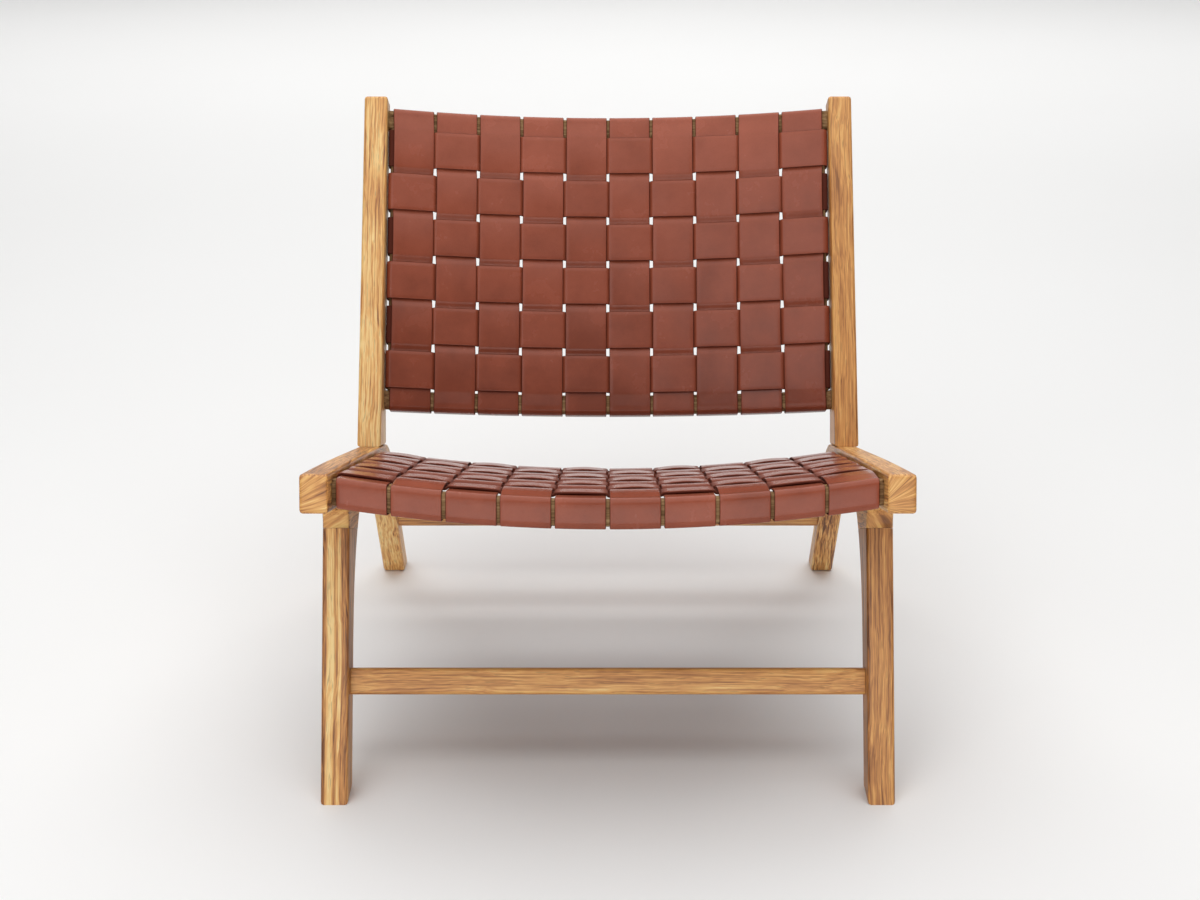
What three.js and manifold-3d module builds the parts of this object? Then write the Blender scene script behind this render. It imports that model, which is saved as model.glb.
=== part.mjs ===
// Lounge chair with a woven strap seat and back.
// Two side frames of solid teak, each a seat rail, a front leg, a rear leg and a back post, are tied
// together by two stretchers and by the four bowed bars of the seat and the back.
// Leather straps are stretched round those bars, and cross straps round the slats beside them. They pass
// over and under each other in one layer, and their ends lie on the hidden faces of the bars and slats.
// Millimetres and degrees, +Z up. The sitter faces -Y, and left and right are as seen from the front.

import * as THREE from "three";
import { mergeVertices } from "three/addons/utils/BufferGeometryUtils.js";
import Module from "manifold-3d";

// Fits
const JOINT_GAP = 0.3; // glue line or clearance between two wooden pieces
const LEATHER_GAP = 0.3; // between a strap and the wood that it lies on
const WEAVE_GAP = 0.4; // between two straps where they cross
const EDGE_GAP = 0.4; // a strap stays level this far past the edge of the strap that it crosses

// Side frames
const CHAIR_WIDTH = 612.6; // over the outer faces of both side frames
const SIDE_THICKNESS = 29; // of every rail, leg and post
const EDGE_ROUND = 3.2; // rounding of the long edges
const CORNER_ROUND = 5; // rounding of the ends, in the side view

// Seat rail
const SEAT_TILT = 16; // the rail falls this much towards the rear
const RAIL_FRONT_HEIGHT = 388.1; // of the line of its top edge, at its front end
const RAIL_DEPTH = 42.1;
const RAIL_EASE = 2.6; // its top edge curves down this much to its front end
const RAIL_EASE_RUN = 300; // over this length
const RAIL_TAIL = 5; // how far it runs on behind the post
const STUB_DEPTH = 29.3; // of the shaped stub under it, at its front edge, which the front leg carries on
const STUB_FILLET = 45; // along the rail, in front of the stub

// Front leg
const FRONT_LEG_SETBACK = 166.9; // of its front edge at the glue line, along the rail
const FRONT_LEG_LEAN = 22; // from upright, foot forwards
const FRONT_FOOT_DEPTH = 43;
const FRONT_LEG_TAPER = 1.1; // its rear edge leans this much more
const GUSSET_RUN = 121; // along the rail, from the leg's front edge to where its widened top runs out
const GUSSET_START = 145; // height at which the leg starts to widen
const GUSSET_TURN = 106; // from there to the middle of the curve
const LEG_TENON = { along: 38, thick: 11, tall: 32 };
const LEG_TENON_INSET = 12; // behind the leg's front edge

// Rear leg
const KNUCKLE_REACH = 42.5; // from the rail's end to the bend of its underside
const KNUCKLE_FILLET = 29;
const KNUCKLE_ROUND = 33; // of the outside of the bend, along the rail
const KNUCKLE_FALL = 45; // and along the leg
const REAR_LEG_LEAN = 35.7; // from upright, foot backwards
const REAR_FOOT_DEPTH = 36;
const KNUCKLE_TENON = { along: 14, thick: 11, tall: 20 };

// Back post
const POST_OVERLAP = 13; // how far its front edge stands in front of the seat's rear bar's rear face
const POST_BASE = 62; // along the rail
const POST_RECLINE = 29; // of its front edge, from upright
const POST_LENGTH = 449; // of its front edge
const POST_TOP = 33; // depth at its top
const POST_WAIST = 51.8; // depth where its flared foot starts
const POST_FLARE = 56; // height of the flared foot along the front edge
const POST_TENON = { along: 36, thick: 11, tall: 20 };

// Stretchers
const STRETCHER_HEIGHT = 28.4;
const STRETCHER_DEPTH = 18;
const STRETCHER_ROUND = 4;
const STRETCHER_TENON = { tall: 16, deep: 9, long: 13 };
const FRONT_STRETCHER_UP = 130.3; // from the floor to its middle, along the leg's front edge
const FRONT_STRETCHER_SETBACK = 15; // behind the leg's front edge
const REAR_STRETCHER_UP = 115.9;
const REAR_STRETCHER_SETBACK = 5.5;

// Straps
const STRAP_WIDTH = 51.5; // of the lengthwise straps
const CROSS_WIDTH = 47.2; // of the cross straps
const STRAP_THICKNESS = 2.5;
const LEAST_STRAP_GAP = 3.2; // between two lengthwise straps
const STRAP_END = 3; // the hidden end stops this far from the edge of what it lies on
const LOOP_GAP = 1; // between a cross strap's loop and the side frame
const BEND_STEPS = 2; // faces round a bend of a strap or a rounded edge of a bar

// Bars and slats
const BAR_ROUND = 4;
const BAR_TENON = { along: 12, tall: 11, long: 13, root: 4 };
const SLAT = { width: 18, depth: 16 };
const SLAT_ROUND = 2.5;
const SLAT_TENON = { width: 9, depth: 7, long: 8 };

// Seat, its rows counted from the front
const SEAT_ROWS = 7;
const SEAT_ROW_GAP = 10.8; // between two cross straps
const SEAT_BAR_GAP = 2.6; // between a bar and the first or last cross strap
const SEAT_BAR_WIDTH = 30;
const SEAT_BAR_DEPTH = 26.4;
const SEAT_BOW = 21.5; // how far the bars dip between the side frames
const SEAT_STRAP_INSET = 0.9; // the outer strap's edge inside the slat's outer face
const SEAT_INSET = 26.5; // of the front bar's front face, along the rail
const SEAT_DROP = 9.5; // of the bars' top faces under the rail's top, at the side frames

// Back, its rows counted from the bottom
const BACK_ROWS = 6;
const BACK_ROW_GAP = 9.4;
const BACK_BAR_GAP = 2.2;
const BOTTOM_BAR_WIDTH = 22.7;
const TOP_BAR_WIDTH = 23.8;
const BACK_BAR_DEPTH = 19;
const BACK_BOW = 42;
const BACK_STRAP_INSET = 3;
const BACK_UP = 53.8; // of the bottom bar's lower face, along the post's front edge
const BACK_SETBACK = 22; // of the weave there, behind the post's front edge
const BACK_RECLINE = 27; // from upright

// Finishes
const TEAK = { color: 0xb9793f, roughness: 0.45, metalness: 0 };
const TEAK_SHADE = { color: 0x8f6a3a, roughness: 0.6, metalness: 0 };
const LEATHER = { color: 0x8a4a38, roughness: 0.5, metalness: 0 };

const wasm = await Module();
wasm.setup();

const tilt = THREE.MathUtils.degToRad(SEAT_TILT);
const outerFace = CHAIR_WIDTH / 2;
const innerFace = outerFace - SIDE_THICKNESS;
const sideMiddle = (innerFace + outerFace) / 2;
const SIDES = [
  { name: "left", sign: -1 },
  { name: "right", sign: 1 },
];

// Solids and meshes

function solidOf(geometry) {
  const bare = geometry.clone();
  bare.deleteAttribute("normal");
  bare.deleteAttribute("uv");
  const merged = mergeVertices(bare, 1e-4);
  return new wasm.Manifold(
    new wasm.Mesh({
      numProp: 3,
      vertProperties: new Float32Array(merged.attributes.position.array),
      triVerts: new Uint32Array(merged.index.array),
    }),
  );
}

function geometryOf(solid) {
  const mesh = solid.getMesh();
  const geometry = new THREE.BufferGeometry();
  geometry.setAttribute("position", new THREE.BufferAttribute(mesh.vertProperties, 3));
  geometry.setIndex(new THREE.BufferAttribute(mesh.triVerts, 1));
  geometry.computeVertexNormals();
  return geometry;
}

function piece(name, geometry, finish) {
  const mesh = new THREE.Mesh(geometry, new THREE.MeshStandardMaterial(finish));
  mesh.name = name;
  return mesh;
}

// A closed skin over rings of points, each ring with as many points as the next.
function skin(rings) {
  const count = rings[0].length;
  const positions = rings.flat().flatMap((p) => [p.x, p.y, p.z]);
  const faces = [];
  for (let r = 0; r + 1 < rings.length; r++) {
    for (let i = 0; i < count; i++) {
      const a = r * count + i;
      const b = r * count + ((i + 1) % count);
      faces.push(a, b, b + count, a, b + count, a + count);
    }
  }
  const last = (rings.length - 1) * count;
  for (let i = 1; i + 1 < count; i++) {
    faces.push(0, i + 1, i, last, last + i, last + i + 1);
  }
  const geometry = new THREE.BufferGeometry();
  geometry.setAttribute("position", new THREE.Float32BufferAttribute(positions, 3));
  geometry.setIndex(faces);
  return geometry;
}

// The points of a rectangle with rounded corners, counter-clockwise.
function roundedRectangle(left, bottom, right, top, round) {
  const corners = [
    [right - round, bottom + round, -90],
    [right - round, top - round, 0],
    [left + round, top - round, 90],
    [left + round, bottom + round, 180],
  ];
  return corners.flatMap(([x, y, start]) => arc(x, y, round, start, start + 90));
}

function arc(x, y, radius, start, end) {
  return Array.from({ length: BEND_STEPS + 1 }, (_, step) => {
    const angle = THREE.MathUtils.degToRad(start + ((end - start) * step) / BEND_STEPS);
    return new THREE.Vector2(x + radius * Math.cos(angle), y + radius * Math.sin(angle));
  });
}

// A box with its own frame: its sizes along three axes and the frame that it is centred in.
function boxIn(frame, along, up, across, grow = 0) {
  const box = new THREE.BoxGeometry(across + 2 * grow, along + 2 * grow, up + 2 * grow);
  return solidOf(box.applyMatrix4(frame));
}

// Side frames: outlines in depth and height

// A point from its place along the rail's top edge and above it.
function onRail(along, above) {
  return new THREE.Vector2(
    along * Math.cos(tilt) + above * Math.sin(tilt),
    RAIL_FRONT_HEIGHT - along * Math.sin(tilt) + above * Math.cos(tilt),
  );
}

// The frame of a point on the rail: X across the chair, Y along the rail and Z square to its top.
function railFrame(x, along, above) {
  const place = onRail(along, above);
  return new THREE.Matrix4().makeRotationX(-tilt).setPosition(x, place.x, place.y);
}

// Where the line through a point at a lean from upright reaches a height.
function leaning(point, lean, height) {
  const run = Math.tan(THREE.MathUtils.degToRad(lean));
  return new THREE.Vector2(point.x + (height - point.y) * run, height);
}

// Where that line crosses a line that falls with the seat.
function onFall(point, lean, railPoint) {
  const run = Math.tan(THREE.MathUtils.degToRad(lean));
  const fall = Math.tan(tilt);
  const height =
    (railPoint.y - fall * (point.x - railPoint.x - point.y * run)) / (1 + fall * run);
  return leaning(point, lean, height);
}

// A closed outline of corners. A corner is cut back by its first length before it and its second after it.
function outline(corners) {
  const shape = new THREE.Shape();
  corners.forEach(([corner, before, after = before], i) => {
    const [previous] = corners[(i + corners.length - 1) % corners.length];
    const [next] = corners[(i + 1) % corners.length];
    const start = previous.clone().sub(corner).setLength(before).add(corner);
    const end = next.clone().sub(corner).setLength(after).add(corner);
    if (i === 0) shape.moveTo(start.x, start.y);
    else if (start.distanceTo(shape.currentPoint) > JOINT_GAP) shape.lineTo(start.x, start.y);
    if (before > 0) shape.quadraticCurveTo(corner.x, corner.y, end.x, end.y);
  });
  shape.closePath();
  return shape;
}

// An outline sawn from a plank, with its long edges rounded, in the plane of one side frame.
function plank(shape, side) {
  const geometry = new THREE.ExtrudeGeometry(shape, {
    depth: SIDE_THICKNESS - 2 * EDGE_ROUND,
    bevelThickness: EDGE_ROUND,
    bevelSize: EDGE_ROUND,
    bevelOffset: -EDGE_ROUND,
    bevelSegments: 2,
    curveSegments: 7,
  });
  geometry.translate(0, 0, EDGE_ROUND - SIDE_THICKNESS / 2);
  const upright = new THREE.Matrix4().makeBasis(
    new THREE.Vector3(0, 1, 0),
    new THREE.Vector3(0, 0, 1),
    new THREE.Vector3(1, 0, 0),
  );
  geometry.applyMatrix4(upright.setPosition(side.sign * sideMiddle, 0, 0));
  return solidOf(geometry);
}

// Woven panels: the seat and the back are laid out flat, and then bowed

const weaveLevel = (STRAP_THICKNESS + WEAVE_GAP) / 2; // of a strap's middle over or under the weave's own
const strapSkin = STRAP_THICKNESS / 2 + LEATHER_GAP; // from the wood to the middle of a strap on it
const bed = -weaveLevel - strapSkin; // of the wood under the weave

// What follows from a panel's sizes. The weave's own surface, at height 0, meets the side frames there.
function layout(panel) {
  const [near, far] = panel.bars;
  const rowPitch = CROSS_WIDTH + panel.rowGap;
  const firstRow = near.width + panel.barGap + CROSS_WIDTH / 2;
  const lastRow = firstRow + (panel.rows - 1) * rowPitch;
  const radius = (innerFace ** 2 + panel.bow ** 2) / (2 * panel.bow);
  const loop = radius * Math.asin((innerFace - LOOP_GAP) / (radius - bed));
  const slatFace = loop - STRAP_THICKNESS - LEATHER_GAP;
  const span = 2 * (slatFace - panel.strapInset);
  const straps = Math.floor((span + LEAST_STRAP_GAP) / (STRAP_WIDTH + LEAST_STRAP_GAP));
  const strapPitch = (span - STRAP_WIDTH) / (straps - 1);
  return {
    ...panel,
    radius,
    slatFace,
    length: lastRow + CROSS_WIDTH / 2 + panel.barGap + far.width,
    rowPlaces: Array.from({ length: panel.rows }, (_, row) => firstRow + row * rowPitch),
    strapPlaces: Array.from({ length: straps }, (_, i) => strapPitch * (i - (straps - 1) / 2)),
    strapPitch,
  };
}

const seat = layout({
  name: "seat",
  rows: SEAT_ROWS,
  rowGap: SEAT_ROW_GAP,
  barGap: SEAT_BAR_GAP,
  bars: [
    { name: "seat_front_bar", width: SEAT_BAR_WIDTH, depth: SEAT_BAR_DEPTH },
    { name: "seat_rear_bar", width: SEAT_BAR_WIDTH, depth: SEAT_BAR_DEPTH },
  ],
  bow: SEAT_BOW,
  strapInset: SEAT_STRAP_INSET,
});
const back = layout({
  name: "back",
  rows: BACK_ROWS,
  rowGap: BACK_ROW_GAP,
  barGap: BACK_BAR_GAP,
  bars: [
    { name: "back_bottom_bar", width: BOTTOM_BAR_WIDTH, depth: BACK_BAR_DEPTH },
    { name: "back_top_bar", width: TOP_BAR_WIDTH, depth: BACK_BAR_DEPTH },
  ],
  bow: BACK_BOW,
  strapInset: BACK_STRAP_INSET,
});

// A point of the flat panel, bowed: across it, along it and above the weave.
// Below the weave, the sides of the wood and of the straps round it stay upright, as the side frames are.
function bowed(panel, across, along, above) {
  const angle = across / panel.radius;
  return new THREE.Vector3(
    (panel.radius - Math.max(above, bed)) * Math.sin(angle),
    along,
    panel.radius - panel.bow - (panel.radius - above) * Math.cos(angle),
  );
}

// How far across the flat panel the wood meets an upright plane.
function acrossAt(panel, x) {
  return panel.radius * Math.asin(x / (panel.radius - bed));
}

// Straps

// The end of a strap that turns round a bar or slat, from its hidden end up to the weave.
// The support's outer face is at face, and inward is the sense from there into the panel.
function wrap(support, crossing, ramp) {
  const { face, inward, width, depth, round } = support;
  const out = face - inward * strapSkin;
  const hidden = bed - depth - strapSkin;
  const turn = round + strapSkin;
  const edge = crossing.place - inward * (crossing.width / 2 + EDGE_GAP);
  const near = inward * (edge - face) < round + ramp;
  const rises = crossing.over && near;
  const topTurn = rises ? inward * (edge - out) : turn;
  const top = rises ? weaveLevel : -weaveLevel;
  const mirrored = (p, centre) => new THREE.Vector2(centre + inward * (p.x - centre), p.y);
  const lower = out + inward * turn;
  const upper = out + inward * topTurn;
  const points = [
    new THREE.Vector2(face + inward * (width - STRAP_END), hidden),
    ...arc(lower, hidden + turn, turn, 270, 180).map((p) => mirrored(p, lower)),
    ...arc(upper, top - topTurn, topTurn, 180, 90).map((p) => mirrored(p, upper)),
  ];
  if (crossing.over && !near) points.push(new THREE.Vector2(edge - inward * ramp, -weaveLevel));
  return points;
}

// The middle line of a strap from one hidden end to the other, through the straps that it crosses.
function strapLine(supports, crossings) {
  const [first, second] = crossings;
  const ramp = second.place - first.place - first.width - 2 * EDGE_GAP;
  const woven = crossings.flatMap(({ place, width, over }) => {
    const half = width / 2 + EDGE_GAP;
    const level = over ? weaveLevel : -weaveLevel;
    return [new THREE.Vector2(place - half, level), new THREE.Vector2(place + half, level)];
  });
  const start = wrap(supports[0], first, ramp);
  const end = wrap(supports[1], crossings.at(-1), ramp);
  const from = start.at(-1).x + LEATHER_GAP;
  const to = end.at(-1).x - LEATHER_GAP;
  return [...start, ...woven.filter((p) => p.x > from && p.x < to), ...end.reverse()];
}

// The strap's upper and lower face along its middle line, mitred at each turn.
function strapFaces(line) {
  const sides = line.slice(1).map((p, i) => {
    const along = p.clone().sub(line[i]).normalize();
    return new THREE.Vector2(-along.y, along.x);
  });
  return line.map((p, i) => {
    const before = sides[Math.max(i - 1, 0)];
    const after = sides[Math.min(i, sides.length - 1)];
    const middle = before.clone().add(after).normalize();
    middle.multiplyScalar(STRAP_THICKNESS / 2 / middle.dot(after));
    return { upper: p.clone().add(middle), lower: p.clone().sub(middle) };
  });
}

function barSupports(panel) {
  const [near, far] = panel.bars;
  return [
    { ...near, face: 0, inward: 1, round: BAR_ROUND },
    { ...far, face: panel.length, inward: -1, round: BAR_ROUND },
  ];
}

function slatSupports(panel) {
  return SIDES.map(({ sign }) => ({
    ...SLAT,
    face: sign * panel.slatFace,
    inward: -sign,
    round: SLAT_ROUND,
  }));
}

// At each crossing one of the two straps is over the other, in turn along both.
function strapIsOver(strap, row) {
  return (strap + row) % 2 === 1;
}

function lengthwiseStrap(panel, strap) {
  const crossings = panel.rowPlaces.map((place, row) => ({
    place,
    width: CROSS_WIDTH,
    over: strapIsOver(strap, row),
  }));
  const left = panel.strapPlaces[strap] - STRAP_WIDTH / 2;
  const right = left + STRAP_WIDTH;
  const rings = strapFaces(strapLine(barSupports(panel), crossings)).map(({ upper, lower }) => [
    bowed(panel, left, lower.x, lower.y),
    bowed(panel, left, upper.x, upper.y),
    bowed(panel, right, upper.x, upper.y),
    bowed(panel, right, lower.x, lower.y),
  ]);
  return piece(`${panel.name}_strap_${strap + 1}`, skin(rings), LEATHER);
}

function crossStrap(panel, row) {
  const crossings = panel.strapPlaces.map((place, strap) => ({
    place,
    width: STRAP_WIDTH,
    over: !strapIsOver(strap, row),
  }));
  const near = panel.rowPlaces[row] - CROSS_WIDTH / 2;
  const far = near + CROSS_WIDTH;
  const rings = strapFaces(strapLine(slatSupports(panel), crossings)).map(({ upper, lower }) => [
    bowed(panel, lower.x, near, lower.y),
    bowed(panel, lower.x, far, lower.y),
    bowed(panel, upper.x, far, upper.y),
    bowed(panel, upper.x, near, upper.y),
  ]);
  return piece(`${panel.name}_cross_strap_${row + 1}`, skin(rings), LEATHER);
}

// Bars and slats

// The tenon of a bar, or with some growth its mortise, in the panel's frame.
function barTenon(panel, support, side, grow = 0) {
  const along = support.face + (support.inward * support.width) / 2;
  const above = bed - support.depth / 2;
  const end = bowed(panel, acrossAt(panel, innerFace), along, above);
  const { long, root, tall } = BAR_TENON;
  const x = side.sign * (innerFace + (long - root) / 2);
  const middle = new THREE.Matrix4().setPosition(x, end.y, end.z);
  return boxIn(middle, BAR_TENON.along, tall, long + root, grow);
}

// The tenon of a slat in a bar, or its mortise, bowed with the panel.
function slatTenon(panel, support, side, grow = 0) {
  const { width, depth, long } = SLAT_TENON;
  const middle = side.sign * (panel.slatFace - SLAT.width / 2);
  const height = bed - SLAT.depth / 2;
  const start = support.face + support.inward * support.width;
  const reach = long + grow;
  const section = roundedRectangle(
    middle - width / 2 - grow,
    height - depth / 2 - grow,
    middle + width / 2 + grow,
    height + depth / 2 + grow,
    depth / 4,
  );
  const rings = [start - reach, start + reach].map((along) =>
    section.map((p) => bowed(panel, p.x, along, p.y)).reverse(),
  );
  return solidOf(skin(rings));
}

function bar(panel, support) {
  const edges = [support.face, support.face + support.inward * support.width];
  const section = roundedRectangle(
    Math.min(...edges),
    bed - support.depth,
    Math.max(...edges),
    bed,
    BAR_ROUND,
  );
  const end = acrossAt(panel, innerFace - JOINT_GAP);
  const outer = panel.slatFace - panel.strapInset;
  const gaps = panel.strapPlaces.slice(1).map((place) => place - panel.strapPitch / 2);
  const rings = [-end, -outer, ...gaps, outer, end].map((across) =>
    section.map((p) => bowed(panel, across, p.x, p.y)),
  );
  let solid = solidOf(skin(rings));
  for (const side of SIDES) {
    solid = solid.add(barTenon(panel, support, side));
    solid = solid.subtract(slatTenon(panel, support, side, JOINT_GAP));
  }
  return piece(support.name, geometryOf(solid), TEAK_SHADE);
}

function slat(panel, side) {
  const [near, far] = barSupports(panel);
  const edges = [side.sign * panel.slatFace, side.sign * (panel.slatFace - SLAT.width)];
  const section = roundedRectangle(
    Math.min(...edges),
    bed - SLAT.depth,
    Math.max(...edges),
    bed,
    SLAT_ROUND,
  );
  const ends = [near.width + JOINT_GAP, panel.length - far.width - JOINT_GAP];
  const rings = ends.map((along) =>
    section.map((p) => bowed(panel, p.x, along, p.y)).reverse(),
  );
  const solid = solidOf(skin(rings))
    .add(slatTenon(panel, near, side))
    .add(slatTenon(panel, far, side));
  return piece(`${panel.name}_side_slat_${side.name}`, geometryOf(solid), TEAK_SHADE);
}

// A panel with its bars, slats and straps, in a group of its own.
function wovenPanel(panel, rotation, place) {
  const group = new THREE.Group();
  group.rotation.x = rotation;
  group.position.set(0, place.x, place.y);
  group.updateMatrix();
  barSupports(panel).forEach((support) => group.add(bar(panel, support)));
  SIDES.forEach((side) => group.add(slat(panel, side)));
  panel.strapPlaces.forEach((_, strap) => group.add(lengthwiseStrap(panel, strap)));
  panel.rowPlaces.forEach((_, row) => group.add(crossStrap(panel, row)));
  return group;
}

// The mortises that a panel's bars need in one side frame.
function barMortises(panel, group, side) {
  return barSupports(panel).map((support) =>
    barTenon(panel, support, side, JOINT_GAP).transform(group.matrix.elements),
  );
}

// The side frames' own layout

const postSetback = SEAT_INSET + seat.length - POST_OVERLAP;
const railLength = postSetback + POST_BASE + RAIL_TAIL;
const recline = THREE.MathUtils.degToRad(POST_RECLINE);
const postFoot = onRail(postSetback, 0);
const lean = THREE.MathUtils.degToRad(FRONT_LEG_LEAN);
const frontLegTop = onRail(FRONT_LEG_SETBACK, -RAIL_DEPTH - STUB_DEPTH);
const frontFoot = leaning(frontLegTop, FRONT_LEG_LEAN, 0);
const knuckle = onRail(railLength + KNUCKLE_REACH, -RAIL_DEPTH);
const rearFoot = leaning(knuckle, -REAR_LEG_LEAN, 0);

// A point of the post from its place along its front edge and behind it.
function onPost(along, behind) {
  return new THREE.Vector2(
    postFoot.x + along * Math.sin(recline) + behind * Math.cos(recline),
    postFoot.y + along * Math.cos(recline) - behind * Math.sin(recline),
  );
}

// The rail and both legs are one flowing outline, which the glue lines part.
function sideOutline() {
  const frontHeel = new THREE.Vector2(frontFoot.x + FRONT_FOOT_DEPTH, 0);
  const rearHeel = new THREE.Vector2(rearFoot.x + REAR_FOOT_DEPTH, 0);
  const gussetEnd = onRail(FRONT_LEG_SETBACK + GUSSET_RUN, -RAIL_DEPTH);
  const rearLean = FRONT_LEG_LEAN + FRONT_LEG_TAPER;
  const gussetStart = leaning(frontHeel, rearLean, GUSSET_START);
  const gussetTurn = leaning(frontHeel, rearLean, GUSSET_START + GUSSET_TURN);
  const stubCorner = onFall(frontLegTop, FRONT_LEG_LEAN, onRail(0, -RAIL_DEPTH));
  return outline([
    [onRail(0, -RAIL_EASE), CORNER_ROUND],
    [onRail(RAIL_EASE_RUN / 2, 0), RAIL_EASE_RUN / 2 - 2 * CORNER_ROUND, RAIL_EASE_RUN / 2],
    [onFall(rearHeel, -REAR_LEG_LEAN, onRail(0, 0)), KNUCKLE_ROUND, KNUCKLE_FALL],
    [rearHeel, 0],
    [rearFoot, CORNER_ROUND],
    [knuckle, KNUCKLE_FILLET],
    [gussetEnd, 0],
    [gussetTurn, gussetTurn.distanceTo(gussetEnd), gussetTurn.distanceTo(gussetStart)],
    [frontHeel, CORNER_ROUND],
    [frontFoot, 0],
    [stubCorner, stubCorner.distanceTo(frontLegTop), STUB_FILLET],
    [onRail(0, -RAIL_DEPTH), CORNER_ROUND],
  ]);
}

function postOutline() {
  return outline([
    [postFoot, 0],
    [onPost(POST_LENGTH, 0), CORNER_ROUND],
    [onPost(POST_LENGTH, POST_TOP), CORNER_ROUND],
    [onPost(POST_FLARE, POST_WAIST), POST_FLARE / 2, POST_FLARE / 3],
    [onRail(postSetback + POST_BASE, 0), 0],
  ]);
}

// Tenons between the pieces of a side frame, or with some growth their mortises

// The frame of a point on the front leg's glue line: Y is along that line and Z is along the leg.
function glueFrame(x, along, above) {
  const place = new THREE.Vector2(along, above).rotateAround(new THREE.Vector2(), -lean).add(frontLegTop);
  return new THREE.Matrix4().makeRotationX(-lean).setPosition(x, place.x, place.y);
}

function frontLegTenon(side, grow = 0) {
  const { along, thick, tall } = LEG_TENON;
  const frame = glueFrame(side.sign * sideMiddle, LEG_TENON_INSET + along / 2, 0);
  return boxIn(frame, along, 2 * tall, thick, grow);
}

function rearLegTenon(side, grow = 0) {
  const { along, thick, tall } = KNUCKLE_TENON;
  const frame = railFrame(side.sign * sideMiddle, railLength, -RAIL_DEPTH / 2);
  return boxIn(frame, 2 * along, tall, thick, grow);
}

function postTenon(side, grow = 0) {
  const { along, thick, tall } = POST_TENON;
  const frame = railFrame(side.sign * sideMiddle, postSetback + POST_BASE / 2, 0);
  return boxIn(frame, along, 2 * tall, thick, grow);
}

// Everything in front of the rear leg and below the glue line, or behind the rail's end.
function frontLegZone(side, grow = 0) {
  const frame = glueFrame(side.sign * sideMiddle, 0, grow - railLength);
  return boxIn(frame, railLength, 2 * railLength, 2 * SIDE_THICKNESS);
}

function rearLegZone(side, grow = 0) {
  const frame = railFrame(side.sign * sideMiddle, 2 * railLength - grow, -railLength);
  return boxIn(frame, 2 * railLength, 4 * railLength, 2 * SIDE_THICKNESS);
}

// The frame of a stretcher's middle: Y is square to a leg's front edge and Z is along it.
function stretcherFrame(foot, lean, up, setback) {
  const angle = THREE.MathUtils.degToRad(lean);
  const behind = setback + STRETCHER_DEPTH / 2;
  const y = foot.x + up * Math.sin(angle) + behind * Math.cos(angle);
  const z = foot.y + up * Math.cos(angle) - behind * Math.sin(angle);
  return new THREE.Matrix4().makeRotationX(-angle).setPosition(0, y, z);
}

const frontStretcherFrame = stretcherFrame(
  frontFoot,
  FRONT_LEG_LEAN,
  FRONT_STRETCHER_UP,
  FRONT_STRETCHER_SETBACK,
);
const rearStretcherFrame = stretcherFrame(
  rearFoot,
  -REAR_LEG_LEAN,
  REAR_STRETCHER_UP,
  REAR_STRETCHER_SETBACK,
);

function stretcherTenons(frame, grow = 0) {
  const { tall, deep, long } = STRETCHER_TENON;
  return boxIn(frame, deep, tall, 2 * (innerFace + long), grow);
}

function stretcher(name, frame) {
  const half = { depth: STRETCHER_DEPTH / 2, height: STRETCHER_HEIGHT / 2 };
  const section = roundedRectangle(
    -half.depth,
    -half.height,
    half.depth,
    half.height,
    STRETCHER_ROUND,
  );
  const end = innerFace - JOINT_GAP;
  const rings = [-end, end].map((x) => section.map((p) => new THREE.Vector3(x, p.x, p.y)));
  const solid = solidOf(skin(rings).applyMatrix4(frame)).add(stretcherTenons(frame));
  return piece(name, geometryOf(solid), TEAK);
}

// One side frame, with the mortises that the seat's and the back's bars need in it.
function sideFrame(side, seatMortises, backMortises) {
  const blank = plank(sideOutline(), side);
  const cut = (solid, cutters) => cutters.reduce((left, cutter) => left.subtract(cutter), solid);
  const rail = cut(blank, [
    frontLegZone(side, JOINT_GAP),
    rearLegZone(side, JOINT_GAP),
    frontLegTenon(side, JOINT_GAP),
    rearLegTenon(side, JOINT_GAP),
    postTenon(side, JOINT_GAP),
    ...seatMortises,
  ]);
  const frontLeg = blank
    .intersect(frontLegZone(side))
    .add(frontLegTenon(side))
    .subtract(stretcherTenons(frontStretcherFrame, JOINT_GAP));
  const rearLeg = blank
    .intersect(rearLegZone(side))
    .add(rearLegTenon(side))
    .subtract(stretcherTenons(rearStretcherFrame, JOINT_GAP));
  const lift = [0, JOINT_GAP * Math.sin(tilt), JOINT_GAP * Math.cos(tilt)];
  const post = cut(plank(postOutline(), side).translate(lift), backMortises);
  return [
    piece(`seat_rail_${side.name}`, geometryOf(rail), TEAK),
    piece(`front_leg_${side.name}`, geometryOf(frontLeg), TEAK),
    piece(`rear_leg_${side.name}`, geometryOf(rearLeg), TEAK),
    piece(`back_post_${side.name}`, geometryOf(post.add(postTenon(side))), TEAK),
  ];
}

function chair() {
  const seatPlace = onRail(SEAT_INSET, -SEAT_DROP - bed);
  const seatPanel = wovenPanel(seat, -tilt, seatPlace);
  const backLean = THREE.MathUtils.degToRad(BACK_RECLINE);
  const backPanel = wovenPanel(back, Math.PI / 2 - backLean, onPost(BACK_UP, BACK_SETBACK));
  const group = new THREE.Group();
  group.add(seatPanel, backPanel);
  for (const side of SIDES) {
    const seatMortises = barMortises(seat, seatPanel, side);
    const backMortises = barMortises(back, backPanel, side);
    group.add(...sideFrame(side, seatMortises, backMortises));
  }
  group.add(stretcher("front_stretcher", frontStretcherFrame));
  group.add(stretcher("rear_stretcher", rearStretcherFrame));
  return group;
}

// The origin is on the floor, under the middle of the chair's box.
function standing(group) {
  const box = new THREE.Box3().setFromObject(group, true);
  const middle = box.getCenter(new THREE.Vector3());
  group.position.set(-middle.x, -middle.y, -box.min.z);
  return new THREE.Group().add(group);
}

export default standing(chair());
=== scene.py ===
import math
import random

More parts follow.
